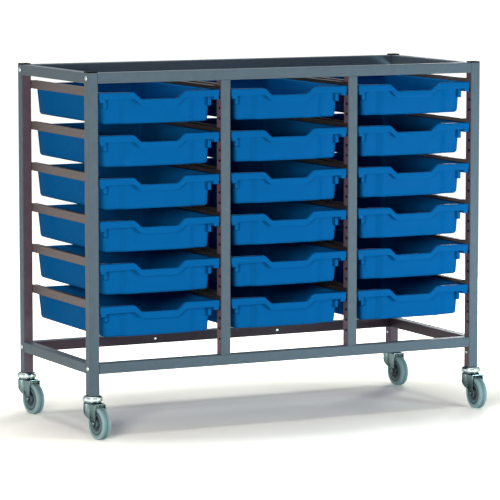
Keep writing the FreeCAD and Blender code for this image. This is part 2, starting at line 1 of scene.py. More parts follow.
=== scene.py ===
import bpy
import math
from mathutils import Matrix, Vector


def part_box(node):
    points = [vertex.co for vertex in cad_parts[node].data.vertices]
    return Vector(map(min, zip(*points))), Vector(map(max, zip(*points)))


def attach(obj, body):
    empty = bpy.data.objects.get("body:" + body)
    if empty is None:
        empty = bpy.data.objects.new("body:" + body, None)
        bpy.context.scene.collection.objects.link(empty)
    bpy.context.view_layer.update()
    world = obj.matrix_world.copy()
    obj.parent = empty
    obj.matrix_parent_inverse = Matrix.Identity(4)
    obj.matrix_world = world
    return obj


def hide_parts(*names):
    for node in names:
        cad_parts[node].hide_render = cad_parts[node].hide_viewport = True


# The looks of a tray trolley: powder-coated tube frame, moulded trays and zinc
# castors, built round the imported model. Sizes named here are in millimetres and
# colours are linear. The stage (floor and lamps) is in metres.

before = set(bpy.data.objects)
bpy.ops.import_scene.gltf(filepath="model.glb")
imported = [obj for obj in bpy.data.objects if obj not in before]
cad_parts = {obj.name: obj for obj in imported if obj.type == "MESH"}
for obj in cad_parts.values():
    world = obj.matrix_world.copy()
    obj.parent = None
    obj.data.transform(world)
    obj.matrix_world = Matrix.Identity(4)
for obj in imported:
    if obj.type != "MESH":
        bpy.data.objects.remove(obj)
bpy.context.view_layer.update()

MM = 0.001

# ---- sizes --------------------------------------------------------------------

# tray
TRAY_HEIGHT = 75.0
TRAY_SHEET = 2.0
RIM_SIDE_REACH = 15.5         # body's sides to the rim's edge
RIM_BACK_REACH = 8.0
RIM_SKIRT = 9.5
RIM_CORNER = 24.0
SIDE_DRAFT = 4.0              # how far each wall leans in from rim to floor
FRONT_DRAFT = 3.0
BACK_DRAFT = 10.0
FRONT_CORNER = 14.0
BACK_CORNER = 8.0
FLOOR_FILLET = 6.0
RIM_FILLET = 2.5
LIP_REACH = 18.0              # front wall to the lip's face
LIP_HEIGHT = 16.0
LIP_INSET = 2.0               # lip's ends stop short of the side rims
LIP_CORNER = 1.2
TAB_WIDTH = 14.0              # deeper tabs at the lip's ends
TAB_HEIGHT = 23.0
TAB_STEP = 2.0
TAB_STEP_HEIGHT = 15.0
TAB_DEPTH = 20.0
TAB_FACE = 0.7                # tabs' cheeks start this far behind the lip's face
DETAIL_INSET = 0.8            # cheeks and pads end this far inside the sheet's surface
FOOT_TURN = 0.4               # small steps of the outline where the rim's foot
STEP_TURN = 0.2               # changes height, at the tab's ends and its step
RETURN_START = 1.5            # lip's end turns outwards this far before the wall
PAD_FOOT = 37.0               # hollow pads on the front wall, just inside the tabs
PAD_WIDTH = 10.0
PAD_REACH = 4.5
PAD_ROOT = 8.0                # their reach behind the front wall
PAD_INSET = 17.5
PAD_SHEET = 1.5
DIP_DEPTH = 17.0              # hand dip in the lip
DIP_FLOOR_HALF = 47.3
DIP_TOP_HALF = 65.5
DIP_ROUNDING = 4.0
BULGE_REACH = 8.0             # front wall's bulge
BULGE_HALF = 80.0
BULGE_SLOPE = 17.0
BULGE_ROUNDING = 2.0
BULGE_INSET_SHARE = 0.24      # share of the inset by which the bulge inside is narrower

# castor
TYRE_WIDTH = 19.5
TYRE_THICKNESS = 11.0
TYRE_SHOULDER = 2.6
GROOVE_HALF = 0.9             # groove round the middle of the tread
GROOVE_FLOOR = 0.4            # half the width of its floor
GROOVE_DEPTH = 0.6
TREAD_REACH = 10.0            # tread's colours run this far out from the groove
HUB_WIDTH = 24.0
HUB_BORE = 4.1                # radius, like the next
HUB_BOSS = 9.0
HUB_RECESS = 5.0
HUB_RIM = 8.0                 # rim, from the tyre inwards
FORK_SHEET = 2.5
FORK_GAP = 1.0                # hub's face to a leg
FORK_EAR = 7.5                # radius of a leg's round end
FORK_FRONT = 6.0              # legs' front edges, ahead of the axle
FORK_DRUM = 21.0              # radius of the round part under the cup
FORK_DRUM_BACK = 1.5          # its axis, behind the kingpin
FORK_CREASE_FOOT = 45.0       # height of the fork's lower edge where the legs begin
FORK_DRUM_FOOT = 70.0         # and at the back of the drum
FORK_BEND = 3.0
CREASE_NORMAL = (0.932, -0.362)   # halfway between the leg's normal and the drum's
RACE_RADIUS = 19.5
RACE_HEIGHT = 3.0
RACE_ROUNDING = 0.8
BOLT_RADIUS = 4.0
AXLE_HEAD = 4.5
AXLE_ROUNDING = 1.2
WASHER_RADIUS = 6.9
WASHER_THICKNESS = 1.0
NUT_RADIUS = 6.2
NUT_START = 0.9               # nut's faces, outwards from the leg
NUT_END = 3.9
CUP_RADIUS = 22.9
CUP_ROUNDING = 2.6
LEG_OUTSIDE = HUB_WIDTH / 2 + FORK_GAP + FORK_SHEET

# slots in the posts
SLOTS = 25
FIRST_SLOT = 213.0            # height of the lowest
SLOT_PITCH = 25.0
SLOT_HEIGHT = 3.0
SLOT_LENGTH = 8.0
SLOT_SETBACK = 8.3            # slot's middle, from the post's outer face
SLOT_SHADE_MARGIN = 1.5               # width of the painted shade round each slot
ROWS_END = (4.0, 5.0)         # the rows fade out this far past the last slots' middles
PAINTED_SHADE_TOP = 829.0            # faces that look inwards get painted shade below this height
OUTER_SHARE = (0.993, 0.997)  # share of the frame's half size where its outer faces begin
UPRIGHT = (0.4, 0.6)          # a face is upright if its normal rises or falls less

# hardware
RAIL_SCREW_HEAD = 6.0         # radii of the heads and the shank
SHORT_SCREW_HEAD = 4.5
SCREW_SHANK = 2.4
SCREW_HEAD_HEIGHT = 2.2
RAIL_SCREW_LENGTH = 30        # lengths of the shanks
SHORT_SCREW_LENGTH = 6

# eased edges
EDGE = 0.5                    # moulded and pressed sheet
PLATE_EDGE = 0.4
NUT_EDGE = 0.6
THIN_EDGE = 0.3               # slotted posts and runners
TUBE_EDGE = 0.7               # rails and small parts
SHEET_ANGLE = 50              # degrees, over which a sheet's edges are eased
PACKED_ANGLE = 40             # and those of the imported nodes
WELD = 0.01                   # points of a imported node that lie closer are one
SMOOTH_ANGLE = 32             # degrees, over which an edge stays sharp

# fineness
ROUND_STEPS = 4               # flats to a rounded corner
BACK_STEPS = 10               # to the tray's back corners
TYRE_STEPS = 6                # to the tyre's shoulders
BEND_STEPS = 5                # to the fork's bend
DRUM_STEPS = 18               # to half its drum
LEG_STATIONS = 12             # along a leg
FEW, MANY = 4, 15             # stations on the tray's flats and curves
SIDE_STATIONS = 5
ROUND, ROUND_FINE, ROUND_COARSE = 72, 96, 32      # faces round a turned part

# colours
SLATE = (0.098, 0.143, 0.168)
POST_PAINTED_SHADE = (0.140, 0.096, 0.118)       # painted shade on the posts' faces that look inwards
# painted shade, darker, on the rails' faces that look inwards
RAIL_PAINTED_SHADE = (0.070, 0.046, 0.058)
# painted shade in the slots, near black
SLOT_PAINTED_SHADE = (0.003, 0.002, 0.002)
RUNNER = (0.150, 0.132, 0.124)
# painted shade on the runners inside the unit
RUNNER_PAINTED_SHADE = (0.030, 0.026, 0.027)
UNSHADED_RUNNER_WIDTH = 7         # outermost part of the runners, which has no painted shade
TRAY_BLUE = (0.0028, 0.130, 0.370)
BRIGHT_ZINC = (0.46, 0.54, 0.54)
# painted shade: a darker copy of the zinc, for the forks and axles
ZINC_PAINTED_SHADE = (0.14, 0.195, 0.20)
ZINC_TINT = (0.12, 0.15, 0.15, 1)         # of its shine at grazing angles
RUBBER_SIDE = (0.26, 0.43, 0.42)
# painted highlight on the tyre's shoulders
RUBBER_PAINTED_HIGHLIGHT = (0.42, 0.60, 0.60)
# painted shade on the tread; darker painted shade in the groove and next to the hub
TREAD_PAINTED_SHADE = (0.20, 0.33, 0.33)
RUBBER_PAINTED_SHADE = (0.07, 0.12, 0.12)
HUB_PALE = (0.17, 0.27, 0.28)
HUB_FACE = (0.11, 0.20, 0.22)
# painted shade in the hub's recess and next to the tyre
HUB_PAINTED_SHADE = (0.030, 0.060, 0.072)
CAP_BLACK = (0.004, 0.004, 0.004)
INSERT_BLACK = (0.01, 0.01, 0.01)

# finish: specular level, and the range of the roughness
COAT_FINISH = (0.12, 0.42, 0.50)
TRAY_FINISH = (0.0015, 0.22, 0.30)
ZINC_FINISH = (0.5, 0.16, 0.28)
RUBBER_FINISH = (0.25, 0.44, 0.60)
HUB_FINISH = (0.2, 0.40, 0.52)
CAP_FINISH = (0.02, 0.55, 0.65)
INSERT_FINISH = (0.02, 0.45, 0.55)

# camera: where the photograph was taken from, as fitted to points of the frame
CAMERA_PLACE = (-3380.7, -6807.65, 1266.0)
CAMERA_YAW = 26.33
CAMERA_PITCH = 6.518
CAMERA_LENS = 224.72
CAMERA_SENSOR = 36.0
CAMERA_CLIP = (0.1, 200.0)

# floor and fill
FILL = 0.13
FILL_COLOUR = (1.0, 0.72, 0.80, 1)
FLOOR_HALF = 30.0
FLOOR_COLOUR = (0.80, 0.81, 0.80, 1)      # for the light it throws on the unit
FLOOR_ROUGHNESS = 0.9
FLOOR_LIT = (1.46, 1.50, 1.34, 1)         # where it is seen
GLOW_COLOUR = (0.95, 1.0, 0.94, 1)
FLOOR_GLOW = 0.03                         # its glow under the unit, which rises to 1
GLOW_RISE = (0.55, 1.25)                  # between these distances from the middle,
GLOW_STRETCH = (1.0, 1.6, 0.0)            # with each axis scaled by these

# lamps: name, place, target, size, watts, colour
LAMPS = (
    ("front_left", (-1.9, -2.0, 0.90), (0, 0, 0.45), (0.7, 0.35), 34, (1.0, 0.92, 0.90)),
    ("front_right", (1.4, -2.0, 0.20), (0.3, 0, 0.3), (0.5, 0.35), 32, (0.72, 0.90, 1.0)),
    ("left_low", (-2.5, 0.45, 0.14), (-0.5, 0, 0.08), (0.9, 0.20), 6, (1.0, 1.0, 1.0)),
    ("above", (0.0, 0.25, 3.2), (0, 0, 0.3), (2.4, 2.0), 46, (1.0, 1.0, 1.0)),
    ("behind", (2.2, 2.1, 1.1), (0, 0, 0.35), (0.8, 0.8), 28, (1.0, 0.98, 0.96)),
)

CORNERS = ("front_left", "front_right", "back_left", "back_right")
COLUMNS = ("left", "middle", "right")
ROWS = 6


# ---- mesh helpers ---------------------------------------------------------------

def mesh_object(name, points, faces, scale=MM):
    """A new object from points and faces, scaled to metres."""
    mesh = bpy.data.meshes.new(name)
    mesh.from_pydata([Vector(p) * scale for p in points], [], faces)
    mesh.validate()
    thing = bpy.data.objects.new(name, mesh)
    bpy.context.scene.collection.objects.link(thing)
    return thing


def smooth(mesh):
    """Smooth shading, with edges sharper than SMOOTH_ANGLE kept."""
    mesh.polygons.foreach_set("use_smooth", [True] * len(mesh.polygons))
    mesh.set_sharp_from_angle(angle=math.radians(SMOOTH_ANGLE))


def bevelled(thing, width, angle=35):
    """Eases the edges that are sharper than angle, in degrees."""
    bevel = thing.modifiers.new("eased_edges", "BEVEL")
    bevel.width = width * MM
    bevel.segments = 2
    bevel.limit_method = "ANGLE"
    bevel.angle_limit = math.radians(angle)
    return thing


def thickened(thing, sheet):
    """Gives a surface the thickness of a sheet, behind its faces."""
    solid = thing.modifiers.new("sheet", "SOLIDIFY")
    solid.thickness = sheet * MM
    solid.offset = -1
    solid.use_even_offset = True
    return thing


def finished_mesh(thing):
    """The thing's mesh with its modifiers applied; the thing itself goes."""
    seen = thing.evaluated_get(bpy.context.evaluated_depsgraph_get())
    mesh = bpy.data.meshes.new_from_object(seen)
    mesh.name = thing.name
    bpy.data.objects.remove(thing)
    smooth(mesh)
    return mesh


def joined(name, meshes):
    """One mesh of several."""
    points, faces = [], []
    for mesh in meshes:
        start = len(points)
        points += [vertex.co.copy() for vertex in mesh.vertices]
        faces += [[start + index for index in face.vertices] for face in mesh.polygons]
    thing = mesh_object(name, points, faces, scale=1.0)
    mesh = thing.data
    bpy.data.objects.remove(thing)
    smooth(mesh)
    return mesh


def quarter(steps):
    """Angles from 0 to a quarter turn, in that many steps."""
    return [math.radians(90 * step / steps) for step in range(steps + 1)]


def rounded(points, radius):
    """A polyline of (a, b) points with its inner corners rounded."""
    path = [Vector(points[0])]
    for before, corner, after in zip(points, points[1:], points[2:]):
        corner = Vector(corner)
        back, ahead = Vector(before) - corner, Vector(after) - corner
        reach = min(radius, back.length / 2, ahead.length / 2)
        start, end = corner + back.normalized() * reach, corner + ahead.normalized() * reach
        for step in range(ROUND_STEPS + 1):
            t = step / ROUND_STEPS
            path.append(start * (1 - t) ** 2 + corner * 2 * t * (1 - t) + end * t ** 2)
    path.append(Vector(points[-1]))
    return [tuple(point) for point in path]


def lathe(name, profile, segments=ROUND):
    """An object turned round z from (radius, height) points; radius 0 closes an end."""
    points, rings = [], []
    for radius, height in profile:
        if radius < 1e-6:
            rings.append([len(points)])
            points.append((0, 0, height))
            continue
        rings.append(list(range(len(points), len(points) + segments)))
        for step in range(segments):
            turn = 2 * math.pi * step / segments
            points.append((radius * math.cos(turn), radius * math.sin(turn), height))
    faces = []
    for low, high in zip(rings, rings[1:]):
        for step in range(segments):
            after = (step + 1) % segments
            if len(low) == 1:
                faces.append([low[0], high[after], high[step]])
            elif len(high) == 1:
                faces.append([low[step], low[after], high[0]])
            else:
                faces.append([low[step], low[after], high[after], high[step]])
    return mesh_object(name, points, faces)


def turned(mesh, axis):
    """The mesh with its z axis turned to axis."""
    mesh.transform(Vector((0, 0, 1)).rotation_difference(Vector(axis)).to_matrix().to_4x4())
    return mesh


def plate(low, high):
    """A box with eased edges."""
    (x0, y0, z0), (x1, y1, z1) = low, high
    points = [(x, y, z) for z in (z0, z1) for y in (y0, y1) for x in (x0, x1)]
    faces = [(0, 2, 3, 1), (4, 5, 7, 6), (0, 1, 5, 4),
             (2, 6, 7, 3), (0, 4, 6, 2), (1, 3, 7, 5)]
    return finished_mesh(bevelled(mesh_object("plate", points, faces), PLATE_EDGE))


def centre(node):
    """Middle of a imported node's box, in metres."""
    low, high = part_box(node)
    return (low + high) / 2


def piece(name, mesh, place, body, material, replaced, swing=0.0):
    """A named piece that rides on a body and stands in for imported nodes."""
    thing = bpy.data.objects.new(name, mesh)
    bpy.context.scene.collection.objects.link(thing)
    thing.location = place
    thing.rotation_euler.z = swing
    if not mesh.materials:
        mesh.materials.append(material)
    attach(thing, body)
    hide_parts(*replaced)
    return thing


# ---- materials ------------------------------------------------------------------

def shade(colour, factor):
    return tuple(min(1.0, channel * factor) for channel in colour)


class Nodes:
    """A short way to wire a material's nodes."""

    def __init__(self, name):
        self.material = bpy.data.materials.new(name)
        self.material.use_nodes = True
        self.tree = self.material.node_tree
        self.shader = self.tree.nodes["Principled BSDF"]
        self.place = self.node("ShaderNodeTexCoord").outputs["Object"]

    def node(self, kind, **settings):
        made = self.tree.nodes.new(kind)
        for key, value in settings.items():
            setattr(made, key, value)
        return made

    def link(self, source, target):
        self.tree.links.new(source, target)

    def stretched(self, scale):
        """The place on the object, with each axis scaled."""
        mapping = self.node("ShaderNodeMapping")
        mapping.inputs["Scale"].default_value = scale
        self.link(self.place, mapping.inputs["Vector"])
        return mapping.outputs["Vector"]

    def noise(self, scale, detail=3.0, roughness=0.5, stretch=None):
        made = self.node("ShaderNodeTexNoise")
        made.inputs["Scale"].default_value = scale
        made.inputs["Detail"].default_value = detail
        made.inputs["Roughness"].default_value = roughness
        source = self.stretched(stretch) if stretch else self.place
        self.link(source, made.inputs["Vector"])
        return made.outputs["Fac"]

    def between(self, factor, low, high, from_low=0.3, from_high=0.7):
        """From low to high as factor goes from from_low to from_high."""
        made = self.node("ShaderNodeMapRange")
        made.inputs["From Min"].default_value = from_low
        made.inputs["From Max"].default_value = from_high
        made.inputs["To Min"].default_value = low
        made.inputs["To Max"].default_value = high
        self.link(factor, made.inputs["Value"])
        return made.outputs["Result"]

    def under(self, factor, start, end):
        """1 where factor is under start, falling to 0 at end."""
        return self.between(factor, 1.0, 0.0, start, end)

    def colours(self, factor, stops):
        ramp = self.node("ShaderNodeValToRGB")
        elements = ramp.color_ramp.elements
        while len(elements) < len(stops):
            elements.new(0.5)
        for element, (place, colour) in zip(elements, stops):
            element.position = place
            element.color = (*colour, 1)
        self.link(factor, ramp.inputs["Fac"])
        return ramp.outputs["Color"]

    def mottled(self, colour, low, high, **noise):
        """A colour that wanders between two shades of it."""
        stops = [(0.3, shade(colour, low)), (0.7, shade(colour, high))]
        return self.colours(self.noise(**noise), stops)

    def math(self, operation, *values):
        """A Math node's result, from numbers and sockets."""
        made = self.node("ShaderNodeMath", operation=operation)
        for socket, value in zip(made.inputs, values):
            if isinstance(value, (int, float)):
                socket.default_value = value
            else:
                self.link(value, socket)
        return made.outputs["Value"]

    def parts(self, vector):
        made = self.node("ShaderNodeSeparateXYZ")
        self.link(vector, made.inputs["Vector"])
        return [made.outputs[axis] for axis in "XYZ"]

    def off(self, value, middle):
        """How far value lies from middle."""
        return self.math("ABSOLUTE", self.math("SUBTRACT", value, middle))

    def across(self):
        """Distance from the object's middle plane across x, in mm."""
        return self.math("DIVIDE", self.off(self.parts(self.place)[0], 0.0), MM)

    def distance(self, scale):
        """Distance from the object's origin, with each axis scaled first."""
        made = self.node("ShaderNodeVectorMath", operation="LENGTH")
        self.link(self.stretched(scale), made.inputs[0])
        return made.outputs["Value"]

    def round_wheel(self):
        """Distance from a wheel's axle, in mm."""
        return self.distance((0, 1 / MM, 1 / MM))

    def rings(self, distance, reach, stops):
        """Colours at distances of up to reach, given as (distance, colour)."""
        return self.colours(self.between(distance, 0.0, 1.0, 0.0, reach),
                            [(place / reach, colour) for place, colour in stops])

    def mixed(self, factor, first, second):
        made = self.node("ShaderNodeMix", data_type="RGBA")
        self.link(factor, made.inputs["Factor"])
        sockets = [socket for socket in made.inputs if socket.type == "RGBA"]
        for socket, source in zip(sockets, (first, second)):
            self.link(source, socket)
        return [socket for socket in made.outputs if socket.type == "RGBA"][0]

    def grain(self, scale, detail, distance, strength, under=None):
        """A bumped normal, distance mm deep, on top of the normal under it."""
        made = self.node("ShaderNodeBump")
        made.inputs["Distance"].default_value = distance * MM
        made.inputs["Strength"].default_value = strength
        self.link(self.noise(scale, detail), made.inputs["Height"])
        if under:
            self.link(under, made.inputs["Normal"])
        return made.outputs["Normal"]

    def finished(self, colour, finish, cloud, normal):
        """The material, its roughness wandering through finish's range with cloud."""
        specular, smoothest, roughest = finish
        self.shader.inputs["Specular IOR Level"].default_value = specular
        self.link(colour, self.shader.inputs["Base Color"])
        self.link(self.between(cloud, smoothest, roughest), self.shader.inputs["Roughness"])
        self.link(normal, self.shader.inputs["Normal"])
        return self.material


def coat_colour(nodes, colour, spread):
    return nodes.mottled(colour, 1 - spread, 1 + spread, scale=60, detail=4)


def coated(nodes, colour):
    """Powder coat of that colour: a fine orange peel and softly mottled gloss."""
    peel = nodes.grain(900, 2, distance=0.05, strength=0.4)
    finer = nodes.grain(2600, 1, distance=0.02, strength=0.3, under=peel)
    return nodes.finished(colour, COAT_FINISH, nodes.noise(140, 2), finer)


def runner_coat(shade_reach):
    """Powder coat on the runners, with painted shade on the parts nearer the middle of the unit
    than the given distance, in mm.
    """
    nodes = Nodes("runner_powder_coat_and_painted_shade")
    shaded_colour = coat_colour(nodes, RUNNER_PAINTED_SHADE, 0.1)
    bare = coat_colour(nodes, RUNNER, 0.05)
    # painted shade over all but the runners' outermost part
    unshaded = nodes.between(nodes.across(), 0.0, 1.0, shade_reach - 1, shade_reach)
    return coated(nodes, nodes.mixed(unshaded, shaded_colour, bare))


def frame_coat(name, painted_shade_colour):
    """Powder coat on the frame, with painted shade on the faces that look inwards and near-black
    painted shade in and round the slots.
    """
    nodes = Nodes(name)
    low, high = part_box("post_front_left")[0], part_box("post_back_right")[1]
    middle, half = (low + high) / 2, (high - low) / 2
    x, y, z = nodes.parts(nodes.place)
    side = nodes.math("DIVIDE", nodes.off(x, middle.x), half.x)
    end = nodes.math("DIVIDE", nodes.off(y, middle.y), half.y)
    inside = nodes.under(nodes.math("MAXIMUM", side, end), *OUTER_SHARE)
    facing = nodes.node("ShaderNodeTexCoord").outputs["Normal"]
    upright = nodes.under(nodes.off(nodes.parts(facing)[2], 0.0), *UPRIGHT)
    below = nodes.under(z, PAINTED_SHADE_TOP * MM, (PAINTED_SHADE_TOP + 1) * MM)
    # painted shade: upright faces that look inwards, below the top rails, take a darker rose
    # colour
    painted_shade = nodes.math("MULTIPLY", nodes.math("MULTIPLY", inside, upright), below)
    base = nodes.mixed(painted_shade, coat_colour(nodes, SLATE, 0.05),
                       coat_colour(nodes, painted_shade_colour, 0.1))
    # painted shade, near black, in each slot and just round it
    rows = (SLOTS - 1) * SLOT_PITCH / 2 * MM
    height = nodes.math("SUBTRACT", z, FIRST_SLOT * MM)
    from_slot = nodes.math("PINGPONG", height, SLOT_PITCH / 2 * MM)
    up = nodes.math("DIVIDE", from_slot, (SLOT_HEIGHT / 2 + SLOT_SHADE_MARGIN) * MM)
    from_middle = nodes.off(nodes.off(y, middle.y), half.y - SLOT_SETBACK * MM)
    along = nodes.math("DIVIDE", from_middle, (SLOT_LENGTH / 2 + SLOT_SHADE_MARGIN) * MM)
    in_slot = nodes.under(nodes.math("MAXIMUM", up, along), 0.9, 1.0)
    in_rows = nodes.under(nodes.off(height, rows), *(rows + past * MM for past in ROWS_END))
    slots = nodes.math("MULTIPLY", nodes.math("MULTIPLY", in_slot, in_rows), inside)
    return coated(nodes, nodes.mixed(slots, base, coat_colour(nodes, SLOT_PAINTED_SHADE, 0.1)))


def tray_plastic():
    """Moulded polypropylene: blue, with soft gloss, faint flow marks and a fine grain."""
    nodes = Nodes("blue_polypropylene")
    flow = nodes.mottled(TRAY_BLUE, 0.96, 1.04, scale=14, roughness=0.55)
    grain = nodes.grain(1500, 2, distance=0.02, strength=0.3)
    return nodes.finished(flow, TRAY_FINISH, nodes.noise(90), grain)


def zinc_plate(name, colour):
    """Zinc plate on pressed steel, lightly streaked by the press."""
    nodes = Nodes(name)
    nodes.shader.inputs["Metallic"].default_value = 1.0
    nodes.shader.inputs["Specular Tint"].default_value = ZINC_TINT
    blotches = nodes.mottled(colour, 0.85, 1.12, scale=120, detail=4)
    streaks = nodes.noise(260, stretch=(1, 1, 0.25))
    grain = nodes.grain(500, 3, distance=0.02, strength=0.3)
    return nodes.finished(blotches, ZINC_FINISH, streaks, grain)


def grey_rubber_and_painted_light(radius):
    """Grey rubber with painted highlights on the shoulders, and painted shade across the tread,
    darkest in the groove, and next to the hub.
    """
    nodes = Nodes("grey_rubber_and_painted_light")
    inner = radius - TYRE_THICKNESS
    # painted shade next to the hub and painted highlights on the shoulders
    flank = nodes.rings(nodes.round_wheel(), radius, [
        (inner + 0.6, RUBBER_PAINTED_SHADE), (inner + 1.6, shade(RUBBER_SIDE, 0.8)),
        (inner + 2.6, RUBBER_SIDE), (radius - 4.2, RUBBER_SIDE),
        (radius - 3.0, RUBBER_PAINTED_HIGHLIGHT), (radius - 1.6, RUBBER_PAINTED_HIGHLIGHT),
        (radius - 0.7, RUBBER_SIDE)])
    # painted shade across the tread, darkest in the groove
    tread = nodes.rings(nodes.across(), TREAD_REACH, [
        (0.6, RUBBER_PAINTED_SHADE), (1.4, shade(TREAD_PAINTED_SHADE, 0.8)), (3.4, TREAD_PAINTED_SHADE),
        (5.0, shade(TREAD_PAINTED_SHADE, 0.86)), (6.6, RUBBER_SIDE)])
    ground = nodes.between(nodes.round_wheel(), 0.0, 1.0, radius - 0.9, radius - 0.3)
    grain = nodes.grain(1200, 3, distance=0.05, strength=0.5)
    return nodes.finished(nodes.mixed(ground, flank, tread), RUBBER_FINISH,
                          nodes.noise(300), grain)


def hub_plastic(radius):
    """Grey hub: a paler rim and boss round a recess in painted shade, with painted shade also at
    the rim's edge next to the tyre.
    """
    nodes = Nodes("grey_hub_plastic_and_painted_shade")
    inner = radius - HUB_RIM
    # painted shade in the recess and at the rim's edge next to the tyre
    rings = nodes.rings(nodes.round_wheel(), radius, [
        (HUB_BOSS - 0.6, HUB_PALE), (HUB_BOSS + 0.6, shade(HUB_PAINTED_SHADE, 0.6)),
        (inner - 3.2, HUB_PAINTED_SHADE), (inner - 0.8, shade(HUB_PAINTED_SHADE, 1.9)),
        (inner + 0.2, HUB_PALE), (inner + 1.6, HUB_FACE),
        (radius - 2.0, HUB_FACE), (radius - 0.9, shade(HUB_PAINTED_SHADE, 0.8))])
    grain = nodes.grain(1400, 2, distance=0.03, strength=0.4)
    return nodes.finished(rings, HUB_FINISH, nodes.noise(200), grain)


def plastic(name, colour, finish):
    """Plain moulded plastic."""
    nodes = Nodes(name)
    mottled = nodes.mottled(colour, 0.9, 1.1, scale=160)
    grain = nodes.grain(1400, 2, distance=0.03, strength=0.4)
    return nodes.finished(mottled, finish, nodes.noise(200), grain)


# ---- tray -----------------------------------------------------------------------

def soft_ramp(x, start, end, rounding):
    """0 before start, 1 after end, straight between, with rounded knees."""
    span = end - start
    knee = rounding / abs(span)

    def knee_at(u):
        if u <= -knee:
            return 0.0
        if u >= knee:
            return u
        return (u + knee) ** 2 / (4 * knee)

    t = (x - start) / span
    return knee_at(t) - knee_at(t - 1)


def spread(start, end, count):
    """That many values from start to end, evenly apart."""
    return [start + (end - start) * step / (count - 1) for step in range(count)]


class TrayPlan:
    """The tray's plan, with its lip's face on y = 0 and its middle on x = 0."""

    def __init__(self, width, depth):
        self.half_rim = width / 2
        self.depth = depth
        self.lip_end = self.half_rim - LIP_INSET

    def walls(self, height, inset):
        """The body's half width, front, back and corner radii, inset from its outside."""
        lean = 1 - height / TRAY_HEIGHT
        half = self.half_rim - RIM_SIDE_REACH - SIDE_DRAFT * lean - inset
        back = self.depth - RIM_BACK_REACH - BACK_DRAFT * lean - inset
        front = LIP_REACH + FRONT_DRAFT * lean + inset
        return half, front, back, max(FRONT_CORNER - inset, 1.0), max(BACK_CORNER - inset, 1.0)

    def stations(self):
        """Places round the right half, from the front's middle to the back's middle.

        Each is (kind, where on the wall, outer rim point, rim's drop, lip's dip).
        """
        half, front, back, radius, back_radius = self.walls(TRAY_HEIGHT, TRAY_SHEET)
        corner_start = half - radius
        dip_start, dip_end = DIP_FLOOR_HALF - DIP_ROUNDING, DIP_TOP_HALF + DIP_ROUNDING
        bulge_start = BULGE_HALF - BULGE_ROUNDING
        bulge_end = BULGE_HALF + BULGE_SLOPE + BULGE_ROUNDING
        xs = spread(0, dip_start - 1, FEW)
        xs += spread(dip_start, dip_end, MANY)
        xs += spread(bulge_start - 3, bulge_end + 1, MANY)
        xs += spread(bulge_end + 6, corner_start, FEW)
        found = []
        for x in xs:
            dip = DIP_DEPTH * (1 - soft_ramp(x, DIP_FLOOR_HALF, DIP_TOP_HALF, DIP_ROUNDING))
            found.append(("front", x, (x, 0.0), LIP_HEIGHT, dip))
        for share, point, drop in self.front_corner(corner_start, front + radius):
            found.append(("front_corner", share, point, drop, 0.0))
        for y in spread(front + radius, self.depth - RIM_CORNER, SIDE_STATIONS)[1:-1]:
            found.append(("side", y, (self.half_rim, y), RIM_SKIRT, 0.0))
        for step, turn in enumerate(quarter(BACK_STEPS)):
            rim = (self.half_rim - RIM_CORNER * (1 - math.cos(turn)),
                   self.depth - RIM_CORNER * (1 - math.sin(turn)))
            found.append(("back_corner", step / BACK_STEPS, rim, RIM_SKIRT, 0.0))
        for x in spread(half - back_radius, 0, FEW)[1:]:
            rim_x = x * (self.half_rim - RIM_CORNER) / (half - back_radius)
            found.append(("back", x, (rim_x, self.depth), RIM_SKIRT, 0.0))
        return found

    def front_corner(self, x_start, y_end):
        """The lip's end: the tab, its step, the rounded corner and the return to the rim.

        Each is (share of the way along, outer rim point, rim's drop).
        """
        end = self.lip_end
        tab, step = end - TAB_WIDTH, end - TAB_STEP
        outline = [((tab - FOOT_TURN, 0.0), LIP_HEIGHT), ((tab, 0.0), TAB_HEIGHT),
                   ((step, 0.0), TAB_HEIGHT), ((step + STEP_TURN, 0.0), TAB_STEP_HEIGHT)]
        for turn in quarter(ROUND_STEPS):
            corner = (end - LIP_CORNER * (1 - math.sin(turn)), LIP_CORNER * (1 - math.cos(turn)))
            outline.append((corner, TAB_STEP_HEIGHT))
        outline += [((end, LIP_REACH - RETURN_START), TAB_STEP_HEIGHT),
                    ((end + FOOT_TURN, LIP_REACH), TAB_STEP_HEIGHT),
                    ((self.half_rim, LIP_REACH + FOOT_TURN), RIM_SKIRT),
                    ((self.half_rim, y_end), RIM_SKIRT)]
        first = (x_start, 0.0)
        lengths, so_far, last = [], 0.0, Vector(first)
        for point, _ in outline:
            so_far += (Vector(point) - last).length
            last = Vector(point)
            lengths.append(so_far)
        return [(length / so_far, point, drop) for length, (point, drop) in zip(lengths, outline)]

    def wall_point(self, kind, where, height, inset):
        """Where a station's wall stands at that height, inset from its outside."""
        half, front, back, radius, back_radius = self.walls(height, inset)
        top_half, _, _, top_radius, top_back_radius = self.walls(TRAY_HEIGHT, TRAY_SHEET)
        if kind == "front":
            knee = BULGE_HALF + BULGE_SLOPE + BULGE_ROUNDING
            x = where
            if x > knee:
                x = knee + (x - knee) * (half - radius - knee) / (top_half - top_radius - knee)
            flat = soft_ramp(x + inset * BULGE_INSET_SHARE, BULGE_HALF,
                             BULGE_HALF + BULGE_SLOPE, BULGE_ROUNDING)
            return x, front - BULGE_REACH * (1 - flat)
        if kind == "back":
            return where * (half - back_radius) / (top_half - top_back_radius), back
        if kind == "side":
            return half, where
        if kind == "front_corner":
            turn = math.radians(-90 + 90 * where)
            return (half - radius + radius * math.cos(turn),
                    front + radius + radius * math.sin(turn))
        turn = math.radians(90 * where)
        return (half - back_radius + back_radius * math.cos(turn),
                back - back_radius + back_radius * math.sin(turn))


